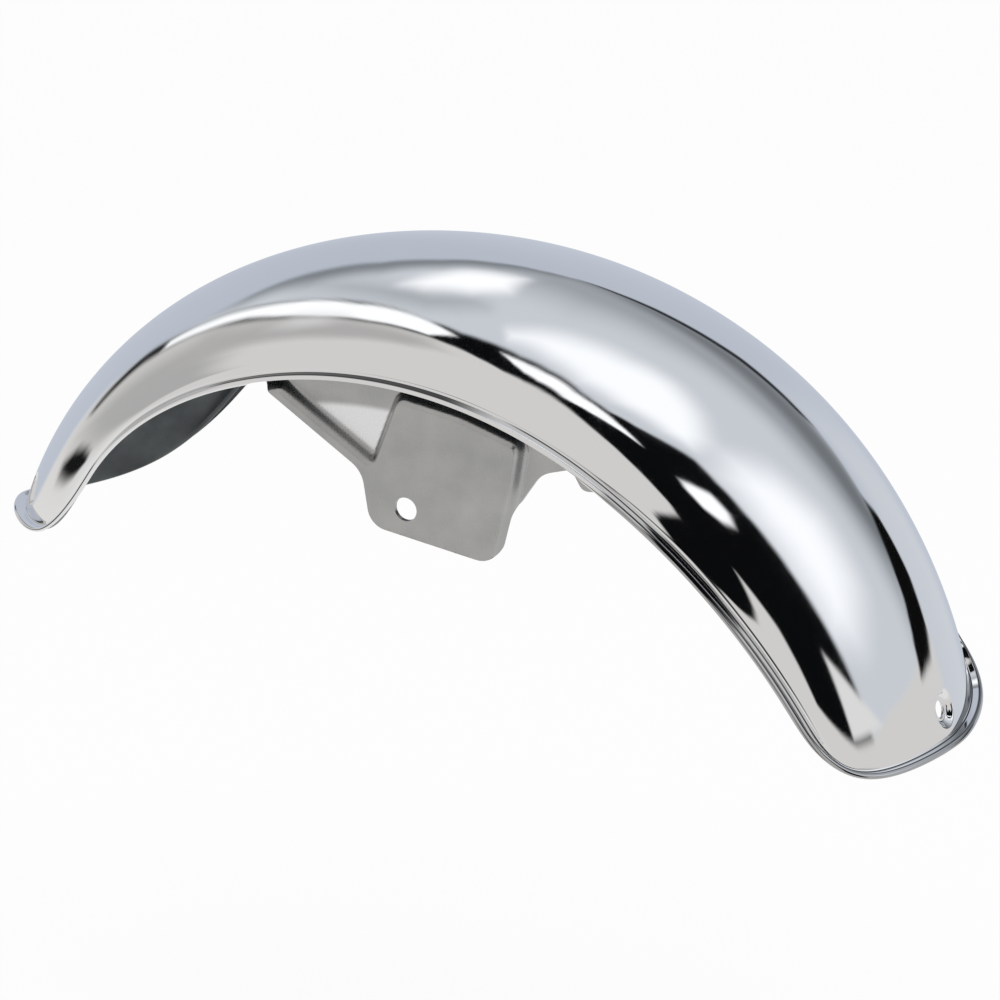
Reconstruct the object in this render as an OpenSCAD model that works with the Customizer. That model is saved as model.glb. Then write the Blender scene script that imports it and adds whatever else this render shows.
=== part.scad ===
// Front mudguard of a small motorcycle: a drawn steel shell and the pressed fork bracket welded inside it.
// The origin is the wheel axle, the arch stands over it in the XZ plane, Z is up and the rear end is at +X.
// Angles along the arch are measured from the top of the wheel towards the rear end.

/* [Arch] */
// Radius of the crown line, from the wheel axle
crown_r = 225; // [200:1:260]
// Angle from the top to the rear end
rear_angle = 76; // [60:0.5:85]
// Angle from the top to the front end
front_angle = 70; // [60:0.5:85]
// Thickness of the shell's sheet
sheet_t = 1.2; // [0.8:0.1:1.6]

/* [Section] */
// Half width of the dome over the bracket
half_w_mid = 79; // [70:0.5:90]
// Half width of the dome at the rear end
half_w_rear = 60.5; // [50:0.5:75]
// Half width of the dome at the front end
half_w_front = 42; // [36:0.5:70]
// Depth of the section over the bracket
depth_mid = 31; // [26:0.5:40]
// Depth of the section at the rear end
depth_rear = 21; // [16:0.5:35]
// Depth of the section at the front end
depth_front = 45.5; // [30:0.5:50]
// Share of the half width over which the crown stays level
crown_fullness = 0.3; // [0.25:0.01:0.6]
// Share of the depth over which the side wall stays upright
wall_fullness = 0.36; // [0.2:0.01:0.6]

/* [Ends] */
// Length of arch over which the rear end rounds in
rear_round = 49; // [30:1:70]
// Squareness of the rear end: 2 is an ellipse
rear_square = 3.4; // [2:0.1:4]
// Length of arch over which the front end rounds in
front_round = 84; // [50:1:100]
// Squareness of the front end: 2 is an ellipse
front_square = 2.3; // [1.8:0.1:4]
// Diameter of the bolt hole in each end
end_hole_d = 7; // [5:0.5:9]
// Diameter of the dimple round each end hole
dimple_d = 15; // [13:0.5:20]
// Depth of the dimple
dimple_depth = 2.6; // [1.5:0.1:4]
// Distance along the crown from the dome's rear end to its hole
rear_hole_inset = 11; // [9.5:0.5:20]
// Distance along the crown from the dome's front end to its hole
front_hole_inset = 13.5; // [12:0.5:20]
// Share of the section by which the front hole lies to one side of the crown
front_hole_share = 0.3; // [0:0.05:0.35]

/* [Rim] */
// Width by which the flange stands out of the wall
flange_w = 4.6; // [4:0.1:7]
// Inside radius of the crease between wall and flange
crease_r = 1; // [0.8:0.1:1.2]
// Outside radius of the bend between flange and lip
lip_bend_r = 1.7; // [1.65:0.05:2]
// Height of the turned-down lip
lip_h = 2.4; // [2.2:0.1:5]
// Amount by which the lip is cut back beside the bracket
lip_relief = 0.6; // [0:0.1:0.6]

/* [Fork bracket] */
// Thickness of the bracket's sheet
bracket_t = 2; // [1.5:0.1:2.5]
// Gap between the bracket and the inside of the shell
seat_gap = 0.2; // [0.1:0.05:0.4]
// Height by which the ear pad is pressed outwards
pad_step = 5.4; // [4:0.1:6]
// Width of the sloping side of the pressed pad
pad_draft = 2.6; // [1.5:0.1:3]
// Distance of the pressed border from the edge of the front web
border_w = 4.5; // [4:0.5:6]
// Diameter of the fork bolt hole
ear_hole_d = 10; // [8:0.5:12]
// Fork bolt hole, distance behind the axle
ear_hole_x = 13; // [11:0.5:16]
// Fork bolt hole, height above the axle
ear_hole_z = 141; // [139:0.5:144]
// Front side of the band that crosses the crown
band_front = 1; // [0:0.5:6]
// Rear side of the band that crosses the crown
band_rear = 19; // [14:0.5:20]
// Front end of the bracket's skirt along the rim
skirt_front = 17; // [17:0.5:19]
// Rear end of the bracket's skirt along the rim
skirt_rear = 27.5; // [27:0.5:28]

/* [Hidden] */

// Stretch of the arch with one section, which the bracket fits
plain_front = 20;
plain_rear = 29;
// Steps of the shell's surface along the arch and across it
along = 48;
across = 22;
// Length of wall that the skirt follows past the dome's edge
skirt_drop = 3.4;
// Row of the section, counted from the middle one, at which the skirt starts
skirt_row = 5;
// Radii of the ear's outer corners and of the pressed corners
ear_corner_r = 9;
pad_corner_r = 4;
pocket_corner_r = pad_draft + 0.9;
// Distance of the pocket's corner from the web's lower corner, along the web
pocket_back = 2.9;
// Depth to which the pad starts inside the base sheet
pad_lap = 1;
// Gap between the lip's edge and the pressed metal under it
lip_gap = 0.4;
// Length past each end of the bracket over which the lip is cut back, in degrees
relief_run = 2;
// Flat land round an end hole, and the part of the dimple sunk in the sheet
hole_land = 1.2;
dimple_lap = 0.6;
// Room past a face for a clean cut
over = 5;
// Small step for a direction square to the skin
step = 0.001;

// Points of a line and of a curve
function mix(a, b, t) = a + (b - a) * t;
function unit(v) = v / norm(v);
function arch_deg(length) = length / crown_r * 180 / PI;

// Taper from the plain stretch, 0, to the ends, 1
function taper(th) = th > plain_rear ? pow((th - plain_rear) / (rear_angle - plain_rear), 2)
    : th < -plain_front ? pow((-plain_front - th) / (front_angle - plain_front), 2)
    : 0;
function half_w(th) = mix(half_w_mid, th > 0 ? half_w_rear : half_w_front, taper(th));
function depth(th) = mix(depth_mid, th > 0 ? depth_rear : depth_front, taper(th));

// The section from the crown, k = 0, to a rim, k = 1 or -1, is one cubic curve on each side, as [y, radius]
function section(th, k) = let (t = abs(k), u = 1 - t)
    [sign(k) * half_w(th) * (3 * u * u * t * crown_fullness + 3 * u * t * t + t * t * t),
     crown_r - depth(th) * (3 * u * t * t * (1 - wall_fullness) + t * t * t)];
// Direction of the section towards the +Y rim
function section_dir(th, k) = let (t = abs(k), u = 1 - t)
    unit([half_w(th) * (3 * u * u * crown_fullness + 6 * u * t * (1 - crown_fullness)),
          -sign(k) * depth(th) * (6 * u * t * (1 - wall_fullness) + 3 * t * t * wall_fullness)]);
function section_out(th, k) = let (d = section_dir(th, k)) [-d[1], d[0]];
// A place in space from its angle, its Y and its radius
function place(th, yr) = [yr[1] * sin(th), yr[0], yr[1] * cos(th)];
// A point at a height above the outer face
function skin(th, k, lift) = place(th, section(th, k) + lift * section_out(th, k));

// Angle at which the dome ends, across the section: a superellipse at each end
function end_angle(k, is_rear) = is_rear
    ? rear_angle - arch_deg(rear_round) * (1 - pow(1 - pow(abs(k), rear_square), 1 / rear_square))
    : -front_angle + arch_deg(front_round) * (1 - pow(1 - pow(abs(k), front_square), 1 / front_square));
function row_k(j) = j == 0 ? -1 : j == across ? 1 : sin(-90 + 180 * j / across);
function grid_angle(i, j) = mix(end_angle(row_k(j), false), end_angle(row_k(j), true), i / along);

// The edge of the dome as one closed loop of [i, j], front left first
edge = concat([for (i = [0 : along - 1]) [i, 0]], [for (j = [0 : across - 1]) [along, j]],
              [for (i = [along : -1 : 1]) [i, across]], [for (j = [across : -1 : 1]) [0, j]]);
edge_n = len(edge);
function edge_place(n) = let (e = edge[n % edge_n]) skin(grid_angle(e[0], e[1]), row_k(e[1]), 0);
// Outward direction of the surface at the edge, square to the edge
function edge_out(n) = let (e = edge[n], th = grid_angle(e[0], e[1]), k = row_k(e[1]),
        run = edge_place(n + 1) - edge_place(n + edge_n - 1),
        d = section_dir(th, k), side = [d[1] * sin(th), d[0], d[1] * cos(th)],
        length = [cos(th), 0, -sin(th)])
    unit((run * length) * -side + (run * side) * length);

// Rim profile as [height over the outer face, distance past the edge], from the outer face round to the inner one
lip_inner_r = lip_bend_r - sheet_t;
rim = concat(
    [for (a = [30, 60, 90]) [crease_r * (1 - cos(a)), crease_r * sin(a)]],
    [for (a = [0, 45, 90]) [flange_w - lip_bend_r * (1 - sin(a)), crease_r + lip_bend_r * (1 - cos(a))]],
    [[flange_w, crease_r + lip_h], [flange_w - sheet_t, crease_r + lip_h]],
    [for (a = [90, 45, 0]) [flange_w - lip_bend_r + lip_inner_r * sin(a), crease_r + lip_bend_r - lip_inner_r * cos(a)]],
    [for (a = [90, 60, 30]) [crease_r - (crease_r + sheet_t) * cos(a), (crease_r + sheet_t) * sin(a)]]);
rim_n = len(rim);
function is_lip_end(c) = rim[c][1] == crease_r + lip_h;
function relief(n) = let (e = edge[n], th = grid_angle(e[0], e[1]))
    (e[1] == 0 || e[1] == across) && th > -skirt_front - relief_run && th < skirt_rear + relief_run ? lip_relief : 0;
function rim_place(c, n) = let (e = edge[n])
    skin(grid_angle(e[0], e[1]), row_k(e[1]), rim[c][0])
    + (rim[c][1] - (is_lip_end(c) ? relief(n) : 0)) * edge_out(n);

module shell_sheet() {
    row = across + 1;
    sheet_n = (along + 1) * row;
    function at(i, j) = i * row + j;
    function ring(c, n) = let (e = edge[n % edge_n])
        c == 0 ? at(e[0], e[1]) : c > rim_n ? sheet_n + at(e[0], e[1]) : 2 * sheet_n + (c - 1) * edge_n + n % edge_n;
    points = concat(
        [for (i = [0 : along]) for (j = [0 : across]) skin(grid_angle(i, j), row_k(j), 0)],
        [for (i = [0 : along]) for (j = [0 : across]) skin(grid_angle(i, j), row_k(j), -sheet_t)],
        [for (c = [0 : rim_n - 1]) for (n = [0 : edge_n - 1]) rim_place(c, n)]);
    outer = [for (i = [0 : along - 1]) for (j = [0 : across - 1]) for (f = [
        [at(i, j), at(i, j + 1), at(i + 1, j + 1)], [at(i, j), at(i + 1, j + 1), at(i + 1, j)]]) f];
    inner = [for (f = outer) [f[0] + sheet_n, f[2] + sheet_n, f[1] + sheet_n]];
    turned = [for (c = [0 : rim_n]) for (n = [0 : edge_n - 1]) for (f = [
        [ring(c, n), ring(c, n + 1), ring(c + 1, n + 1)], [ring(c, n), ring(c + 1, n + 1), ring(c + 1, n)]]) f];
    polyhedron(points, concat(outer, inner, turned));
}

// End holes as [angle, share of the section]
end_holes = [[rear_angle - arch_deg(rear_hole_inset), 0],
             [-front_angle + arch_deg(front_hole_inset), -front_hole_share]];
// Outward direction, square to the skin, by a small step each way
function skin_normal(th, k) = unit(cross(
    skin(th + step, k, 0) - skin(th - step, k, 0), skin(th, k + step, 0) - skin(th, k - step, 0)));

// Moves a piece drawn round Z to a place on the skin, with its Z outwards
module at_skin(hole) {
    n = skin_normal(hole[0], hole[1]);
    translate(skin(hole[0], hole[1], 0)) rotate([0, acos(n[2]), atan2(n[1], n[0])]) children();
}

module end_dimple() {
    hole_r = end_hole_d / 2;
    top_r = dimple_d / 2 + dimple_lap;
    rotate_extrude($fn = 48) polygon([
        [hole_r, -dimple_depth], [hole_r, -dimple_depth - sheet_t], [hole_r + hole_land, -dimple_depth - sheet_t],
        [top_r, -dimple_lap - sheet_t], [top_r, -dimple_lap], [hole_r + hole_land, -dimple_depth]]);
}

module shell() {
    color("lightsteelblue") union() {
        difference() {
            shell_sheet();
            for (hole = end_holes) at_skin(hole)
                translate([0, 0, -over]) cylinder(d = dimple_d, h = 2 * over, $fn = 48);
        }
        for (hole = end_holes) at_skin(hole) end_dimple();
    }
}

// Corner of an outline rounded to a radius, as points from its start to its end
function corner(a, b, c, r) = let (
        u = unit(a - b), v = unit(c - b), half = acos(u * v) / 2,
        mid = b + unit(u + v) * r / sin(half), start = b + u * r / tan(half) - mid,
        side = sign(u[0] * v[1] - u[1] * v[0]), sweep = side * (180 - 2 * half))
    [for (s = [0 : 4]) let (g = -sweep * s / 4) mid + [start[0] * cos(g) - start[1] * sin(g),
                                                     start[0] * sin(g) + start[1] * cos(g)]];
function xy(p) = [p[0], p[1]];
// A clockwise outline of [x, z, radius], moved outwards by d, with its corners rounded
function moved(p, d) = let (n = len(p)) [for (i = [0 : n - 1]) let (
        e = unit(xy(p[i]) - xy(p[(i + n - 1) % n])), f = unit(xy(p[(i + 1) % n]) - xy(p[i])),
        m = [-e[1], e[0]], o = [-f[1], f[0]], turn = sign(f[0] * e[1] - f[1] * e[0]))
    concat(xy(p[i]) + (m + o) / (1 + m * o) * d, [p[i][2] + turn * d])];
function rounded(p) = let (n = len(p)) [for (i = [0 : n - 1])
    for (q = corner(xy(p[(i + n - 1) % n]), xy(p[i]), xy(p[(i + 1) % n]), p[i][2])) q];

// Faces of the bracket on each side, as distances from the middle plane
base_face = half_w_mid - sheet_t - seat_gap;
pad_face = base_face + pad_step;
rim_r = crown_r - depth_mid;

// Radius inside which the pressed metal clears the lip
press_r = rim_r - crease_r - lip_h - lip_gap;
pad_top_r = press_r - pad_draft - lip_gap;
// Corner of an outline, as [x, z, radius]: beside the bolt hole, or at an angle of a circle round the axle
function by_hole(x, z, r) = [ear_hole_x + x, ear_hole_z + z, r];
function by_axle(th, at_r, r) = [at_r * sin(th), at_r * cos(th), r];

// Ear outline, clockwise from above the rim at the front, with a small lobe under the rim at the rear
ear_outline = [
    by_hole(-88, 60, 1), by_hole(98, 60, 1), by_hole(94, 22.5, 3), by_hole(76, 20.2, 4), by_hole(71, 28.5, 1.5),
    by_hole(57.5, 24, 14), by_hole(46, 6, 22), by_hole(40.8, -16.7, ear_corner_r + 1),
    by_hole(-16, -9.8, ear_corner_r), by_hole(-20, 12.8, 12), by_hole(-79, 48, 1)];
// Front pocket's corner, and the place where the border along the front web reaches the pad's top circle
web_dir = unit(xy(ear_outline[10]) - xy(ear_outline[9]));
pocket = concat(xy(ear_outline[9]) - pocket_back * web_dir + border_w * [web_dir[1], -web_dir[0]],
                pocket_corner_r);
web_run = -xy(pocket) * web_dir + sqrt(pow(xy(pocket) * web_dir, 2) - xy(pocket) * xy(pocket) + pow(pad_top_r, 2));
// Pressed pad with the raised borders: its lower side lies outside the ear outline
pressed = [
    by_axle(-22, pad_top_r, 3), concat(xy(pocket) + web_run * web_dir, 3), pocket,
    by_axle(2.7, pad_top_r, pad_corner_r), by_axle(11, pad_top_r, 60), by_axle(19.4, pad_top_r, pad_corner_r),
    by_hole(46.4, 17, 60), by_hole(33.8, -40, 3), by_hole(-40, -40, 3)];

// Outline drawn as a wall from one distance to another
module wall(outline, from, to) {
    rotate([90, 0, 0]) translate([0, 0, from]) linear_extrude(to - from) polygon(outline);
}

// Solid between an outline at one distance and the same outline, moved, at another
module sloped(low, high, from, to) {
    n = len(low);
    points = concat([for (p = low) [p[0], -from, p[1]]], [for (p = high) [p[0], -to, p[1]]]);
    sides = [for (i = [0 : n - 1]) for (f = [
        [i, (i + 1) % n, n + (i + 1) % n], [i, n + (i + 1) % n, n + i]]) f];
    polyhedron(points, concat([[for (i = [n - 1 : -1 : 0]) i], [for (i = [0 : n - 1]) n + i]], sides));
}

// Wide slab, and the pressed pad with its borders drawn smaller by a shift, both open to a clean cut
module slab(from, to) {
    wall([[-crown_r, 0], [-crown_r, crown_r], [crown_r, crown_r], [crown_r, 0]], from, to);
}
module pressing(shift, base, top) {
    lap = pad_lap * pad_draft / pad_step;
    intersection() {
        sloped(rounded(moved(pressed, pad_draft + lap - shift)), rounded(moved(pressed, -lap - shift)),
               base - pad_lap, top + pad_lap);
        slab(base - over, top);
    }
}

// One ear, on the -Y side: base sheet in the pockets, pressed pad and borders, bolt hole
module ear() {
    slope = pad_draft / pad_step;
    inner_shift = bracket_t * (norm([1, slope]) - slope);
    color("gray") difference() {
        intersection() {
            union() {
                slab(base_face - bracket_t, base_face);
                pressing(0, base_face, pad_face);
            }
            wall(rounded(ear_outline), base_face - over, pad_face + over);
            rotate([90, 0, 0]) cylinder(r = rim_r - skirt_drop, h = pad_face + over, $fn = 180);
        }
        pressing(inner_shift, base_face - bracket_t, pad_face - bracket_t);
        translate([ear_hole_x, 0, ear_hole_z]) rotate([90, 0, 0])
            cylinder(d = ear_hole_d, h = pad_face + over, $fn = 48);
    }
}

// Point under a row of the shell's section, at a depth in the bracket's sheet
function under_row(row, depth) = let (
        k = row_k(across / 2 + row), p = section(0, k) - (sheet_t + seat_gap + depth) * section_out(0, k)) [p[1], p[0]];
module band_profile() {
    polygon(concat([for (row = [-skirt_row : skirt_row]) under_row(row, 0)],
                   [for (row = [skirt_row : -1 : -skirt_row]) under_row(row, bracket_t)]));
}
module skirt_profile() {
    low = rim_r - skirt_drop;
    polygon(concat([for (row = [skirt_row : across / 2]) under_row(row, 0)],
                   [[low, base_face], [low, base_face - bracket_t]],
                   [for (row = [across / 2 : -1 : skirt_row]) under_row(row, bracket_t)]));
}

// Revolves a profile of [radius, y] round the axle from one angle to another
module round_axle(from, to) {
    rotate([-90, -90, 0]) rotate([0, 0, from]) rotate_extrude(angle = to - from, $fn = 180) children();
}

// The bracket is one pressing, drawn as five solids that meet face to face: the band over the crown, and at
// each side a skirt that follows the shell's wall and the flat ear below it
module crown_band() {
    color("gray") round_axle(band_front, band_rear) band_profile();
}
module skirt() {
    color("gray") round_axle(-skirt_front, skirt_rear) mirror([0, 1]) skirt_profile();
}
module opposite() {
    mirror([0, 1, 0]) children();
}

// Moves what is drawn round the wheel axle so that the fork bolt hole at -Y is at the origin
module from_hole() {
    translate([-ear_hole_x, pad_face - bracket_t / 2, -ear_hole_z]) children();
}

from_hole() shell();
from_hole() crown_band();
from_hole() skirt();  // skirt_minus_y
from_hole() opposite() skirt();  // skirt_plus_y
from_hole() ear();  // ear_minus_y
from_hole() opposite() ear();  // ear_plus_y
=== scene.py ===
"""Front mudguard of a small motorcycle: a mirror-chromed shell and the pressed fork bracket inside it.

Surfaces are drawn in millimetres round the wheel axle, with the arch in the XZ plane and the rear end at +X. When a
mesh is made they are moved so that the near fork bolt hole is at the origin, and become metres.
"""
import logging
import math
from dataclasses import dataclass, field
from enum import Enum
from typing import Callable, Sequence

import bmesh
import bpy
import numpy as np
from mathutils import Matrix, Vector
from mathutils.geometry import delaunay_2d_cdt


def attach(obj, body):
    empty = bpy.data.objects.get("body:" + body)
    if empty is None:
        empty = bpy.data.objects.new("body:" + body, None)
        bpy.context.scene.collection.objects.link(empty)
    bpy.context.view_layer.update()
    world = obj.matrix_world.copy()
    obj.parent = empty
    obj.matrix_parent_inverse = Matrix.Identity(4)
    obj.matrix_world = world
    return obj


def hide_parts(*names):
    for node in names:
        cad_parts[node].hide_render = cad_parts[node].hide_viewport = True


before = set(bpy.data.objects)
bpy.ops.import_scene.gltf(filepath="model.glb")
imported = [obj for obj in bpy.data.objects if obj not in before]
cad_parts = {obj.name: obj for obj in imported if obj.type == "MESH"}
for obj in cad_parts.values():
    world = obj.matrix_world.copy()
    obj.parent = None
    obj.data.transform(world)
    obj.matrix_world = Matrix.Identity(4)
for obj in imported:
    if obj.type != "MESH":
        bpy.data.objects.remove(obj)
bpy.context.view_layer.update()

MM = 0.001
AXLE = np.array([-13.0, 82.0, -141.0])
BRACKET_NODES = ("crown_band", "skirt_minus_y", "skirt_plus_y", "ear_minus_y", "ear_plus_y")
LOG = logging.getLogger("mudguard")

Array = np.ndarray


class End(Enum):
    """The two rounded ends of the arch."""

    REAR = "rear"
    FRONT = "front"


class Finish(Enum):
    """Names of the shell and of the fork bracket."""

    SHELL = "shell"
    BRACKET = "fork_bracket"


def unit(v: Array) -> Array:
    """Vectors along the last axis, each divided by its length."""
    return v / (np.linalg.norm(v, axis=-1, keepdims=True) + 1e-15)


def smooth(x: Array) -> Array:
    """Smooth step: 0 below 0, 1 above 1 and 3x^2 - 2x^3 between."""
    x = np.clip(x, 0.0, 1.0)
    return x * x * (3.0 - 2.0 * x)


def linear(hex_colour: str) -> tuple[float, float, float, float]:
    """Turns an sRGB hex colour to linear.

    Args:
        hex_colour: six hex digits, with or without a leading hash.

    Returns:
        Linear red, green and blue, and an alpha of 1.
    """
    digits = hex_colour.lstrip("#")
    srgb = np.array([int(digits[i:i + 2], 16) / 255.0 for i in (0, 2, 4)])
    lin = np.where(srgb <= 0.04045, srgb / 12.92, ((srgb + 0.055) / 1.055) ** 2.4)
    return (float(lin[0]), float(lin[1]), float(lin[2]), 1.0)


def add(tree: bpy.types.NodeTree, kind: str, settings: dict | None = None,
        links: dict | None = None) -> bpy.types.Node:
    """Adds a node, sets its properties and socket values, and links its inputs.

    Args:
        tree: node tree of a material or of the world.
        kind: Blender's name of the node type.
        settings: property names, or names or numbers of inputs, with a value.
        links: name or number of an input to (node, output name).

    Returns:
        The new node.
    """
    node = tree.nodes.new(kind)
    for name, value in (settings or {}).items():
        if isinstance(name, int) or name in node.inputs:
            node.inputs[name].default_value = value
        else:
            setattr(node, name, value)
    for name, (source, output) in (links or {}).items():
        tree.links.new(source.outputs[output], node.inputs[name])
    return node


def make_object(name: str, points: Array, faces: list, materials: Sequence[bpy.types.Material],
                slots: Array | None = None, sharp_deg: float = 180.0, tone: Array | None = None) -> bpy.types.Object:
    """Makes a closed mesh object at the origin with its faces outwards.

    Args:
        name: name of the object.
        points: N by 3 array in millimetres, round the wheel axle.
        faces: lists of point numbers.
        materials: material of each slot.
        slots: slot number of each face, or None for the first.
        sharp_deg: edges that turn by more than this angle are sharp.
        tone: share of its colour that the finish keeps at each point, for painted shade and painted highlights, or None
            for all of it.

    Returns:
        The object, linked to the scene.
    """
    flat = np.array([i for f in faces for i in f])
    used, packed = np.unique(flat, return_inverse=True)
    sizes = np.array([len(f) for f in faces])
    starts = np.concatenate([[0], np.cumsum(sizes)[:-1]])
    packed_faces = [packed[s:s + n].tolist() for s, n in zip(starts, sizes)]
    mesh = bpy.data.meshes.new(name)
    mesh.from_pydata(((points[used] + AXLE) * MM).tolist(), [], packed_faces)
    for material in materials:
        mesh.materials.append(material)
    if slots is not None:
        mesh.polygons.foreach_set("material_index", np.asarray(slots, np.int32))
    work = bmesh.new()
    work.from_mesh(mesh)
    bmesh.ops.recalc_face_normals(work, faces=work.faces)
    work.to_mesh(mesh)
    work.free()
    mesh.polygons.foreach_set("use_smooth", np.ones(len(mesh.polygons), bool))
    layer = mesh.attributes.new("tone", "FLOAT", "POINT")
    layer.data.foreach_set("value", (np.ones(len(used)) if tone is None else tone[used]).astype(np.float32))
    if sharp_deg < 180.0:
        mesh.set_sharp_from_angle(angle=math.radians(sharp_deg))
    mesh.update()
    return put_in_scene(name, mesh)


def put_in_scene(name: str, data: bpy.types.ID) -> bpy.types.Object:
    """Makes an object of a mesh, camera or lamp and links it to the scene."""
    obj = bpy.data.objects.new(name, data)
    bpy.context.scene.collection.objects.link(obj)
    return obj


def blank_material(name: str) -> tuple[bpy.types.Material, bpy.types.NodeTree]:
    """A new material and its node tree, without nodes."""
    mat = bpy.data.materials.new(name)
    mat.use_nodes = True
    mat.node_tree.nodes.clear()
    return mat, mat.node_tree


def crossings_odd(points: Array, a: Array, b: Array) -> Array:
    """True where a ray to +X from a point crosses an odd number of the sides from a to b."""
    spans = (a[None, :, 1] > points[:, None, 1]) != (b[None, :, 1] > points[:, None, 1])
    rise = np.where(b[:, 1] == a[:, 1], 1e-12, b[:, 1] - a[:, 1])
    cross = a[None, :, 0] + (points[:, None, 1] - a[None, :, 1]) * ((b - a)[:, 0] / rise)[None]
    return ((spans & (points[:, None, 0] < cross)).sum(1) % 2) == 1


def polygon_distance(points: Array, outline: Array) -> Array:
    """Distance from each point to a closed outline, positive inside.

    The distance to each side is taken square to it, or to its nearer end, and the least counts. Inside is where
    a ray to +X crosses an odd number of sides.

    Args:
        points: N by 2 array.
        outline: M by 2 array, closed from last to first.

    Returns:
        N signed distances.
    """
    a, b = outline, np.roll(outline, -1, axis=0)
    run = b - a
    rel = points[:, None, :] - a[None]
    t = np.clip((rel * run).sum(-1) / np.maximum((run * run).sum(-1), 1e-12), 0, 1)
    near = np.linalg.norm(rel - t[..., None] * run, axis=-1).min(axis=1)
    return np.where(crossings_odd(points, a, b), near, -near)


def triangulate(points: Array, edges: Array, keep: Callable[[Array], Array]) -> Array:
    """Fills a flat region with triangles that keep the given edges.

    Args:
        points: N by 2 array.
        edges: M by 2 array of point numbers that must stay as edges.
        keep: tells for the triangles' centres which triangles stay.

    Returns:
        K by 3 array of point numbers.
    """
    out = delaunay_2d_cdt([Vector(p) for p in points.tolist()], edges.tolist(), [], 0, 1e-7, True)
    source = np.array([ids[0] if ids else -1 for ids in out[3]])
    triangles = source[np.array(out[2])]
    triangles = triangles[(triangles >= 0).all(axis=1)]
    return triangles[keep(points[triangles].mean(axis=1))]


def grid_cells(number: Array) -> Array:
    """Corner numbers of each cell of a grid of point numbers, as K by 4."""
    return np.stack([number[:-1, :-1], number[:-1, 1:], number[1:, 1:], number[1:, :-1]], -1).reshape(-1, 4)


def ring_quads(lower: Array, upper: Array) -> list:
    """Quads between two closed rings of point numbers of the same length."""
    return np.stack([lower, np.roll(lower, -1), np.roll(upper, -1), upper], axis=1).tolist()


# Surfaces


@dataclass
class Dome:
    """The drawn surface of the mudguard: one cubic curve on each side of the crown, turned round the axle.

    An angle is measured from the top of the wheel towards the rear end. The share k runs from -1 at the -Y rim
    through 0 at the crown to 1 at the +Y rim.
    """

    crown_r: float = 225.0
    sheet_t: float = 1.2
    end_angle: dict[End, float] = field(default_factory=lambda: {End.REAR: 76.0, End.FRONT: 70.0})
    plain: dict[End, float] = field(default_factory=lambda: {End.REAR: 29.0, End.FRONT: 20.0})
    half_w: dict[End, float] = field(default_factory=lambda: {End.REAR: 60.5, End.FRONT: 42.0})
    depth: dict[End, float] = field(default_factory=lambda: {End.REAR: 21.0, End.FRONT: 45.5})
    rounding: dict[End, float] = field(default_factory=lambda: {End.REAR: 49.0, End.FRONT: 84.0})
    square: dict[End, float] = field(default_factory=lambda: {End.REAR: 3.4, End.FRONT: 2.3})
    half_w_mid: float = 79.0
    depth_mid: float = 31.0
    crown_fullness: float = 0.3
    wall_fullness: float = 0.36

    def taper(self, th: Array) -> Array:
        """Square of the way from the plain stretch, 0, to an end, 1."""
        rear = (th - self.plain[End.REAR]) / (self.end_angle[End.REAR] - self.plain[End.REAR])
        front = (-th - self.plain[End.FRONT]) / (self.end_angle[End.FRONT] - self.plain[End.FRONT])
        return np.maximum(np.maximum(rear, front), 0.0) ** 2

    def spread(self, th: Array, mid: float, ends: dict[End, float]) -> Array:
        """A size that goes from its middle value to that of each end with the taper."""
        return mid + (np.where(th > 0, ends[End.REAR], ends[End.FRONT]) - mid) * self.taper(th)

    def section(self, th: Array, k: Array) -> tuple[Array, Array]:
        """Y and radius of the section: cubic Bezier curves in the share k, with the shares of width and depth."""
        t, u = np.abs(k), 1.0 - np.abs(k)
        y = np.sign(k) * self.spread(th, self.half_w_mid, self.half_w) * (
            3 * u * u * t * self.crown_fullness + 3 * u * t * t + t ** 3)
        r = self.crown_r - self.spread(th, self.depth_mid, self.depth) * (
            3 * u * t * t * (1 - self.wall_fullness) + t ** 3)
        return y, r

    def section_run(self, th: Array, k: Array) -> tuple[Array, Array]:
        """Direction of the section towards the +Y rim, the derivative of the cubic, as Y and radius."""
        t, u = np.abs(k), 1.0 - np.abs(k)
        dy = self.spread(th, self.half_w_mid, self.half_w) * (
            3 * u * u * self.crown_fullness + 6 * u * t * (1 - self.crown_fullness))
        dr = -np.sign(k) * self.spread(th, self.depth_mid, self.depth) * (
            6 * u * t * (1 - self.wall_fullness) + 3 * t * t * self.wall_fullness)
        length = np.hypot(dy, dr) + 1e-15
        return dy / length, dr / length

    def place(self, th: Array, y: Array, r: Array) -> Array:
        """Point at an angle, a Y and a radius: the radius is turned round the axle by the angle."""
        a = np.radians(th)
        return np.stack([r * np.sin(a), y + 0 * a, r * np.cos(a)], axis=-1)

    def skin(self, th: Array, k: Array, lift: float | Array = 0.0) -> Array:
        """Point at a height over the outer face, square to the section."""
        y, r = self.section(th, k)
        dy, dr = self.section_run(th, k)
        return self.place(th, y - dr * lift, r + dy * lift)

    def normal(self, th: Array, k: Array) -> Array:
        """Outward direction, the cross product of small steps across and along the arch."""
        step = 1e-3
        across = self.skin(th, k + step) - self.skin(th, k - step)
        along = self.skin(th + step, k) - self.skin(th - step, k)
        return unit(np.cross(along, across))

    def dome_end(self, k: Array, end: End) -> Array:
        """Angle at which the dome ends: a superellipse in the share k rounds the end in."""
        q = self.square[end]
        inset = np.degrees(self.rounding[end] / self.crown_r) * (1 - (1 - np.abs(k) ** q) ** (1 / q))
        return self.end_angle[end] - inset if end is End.REAR else inset - self.end_angle[end]


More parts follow.
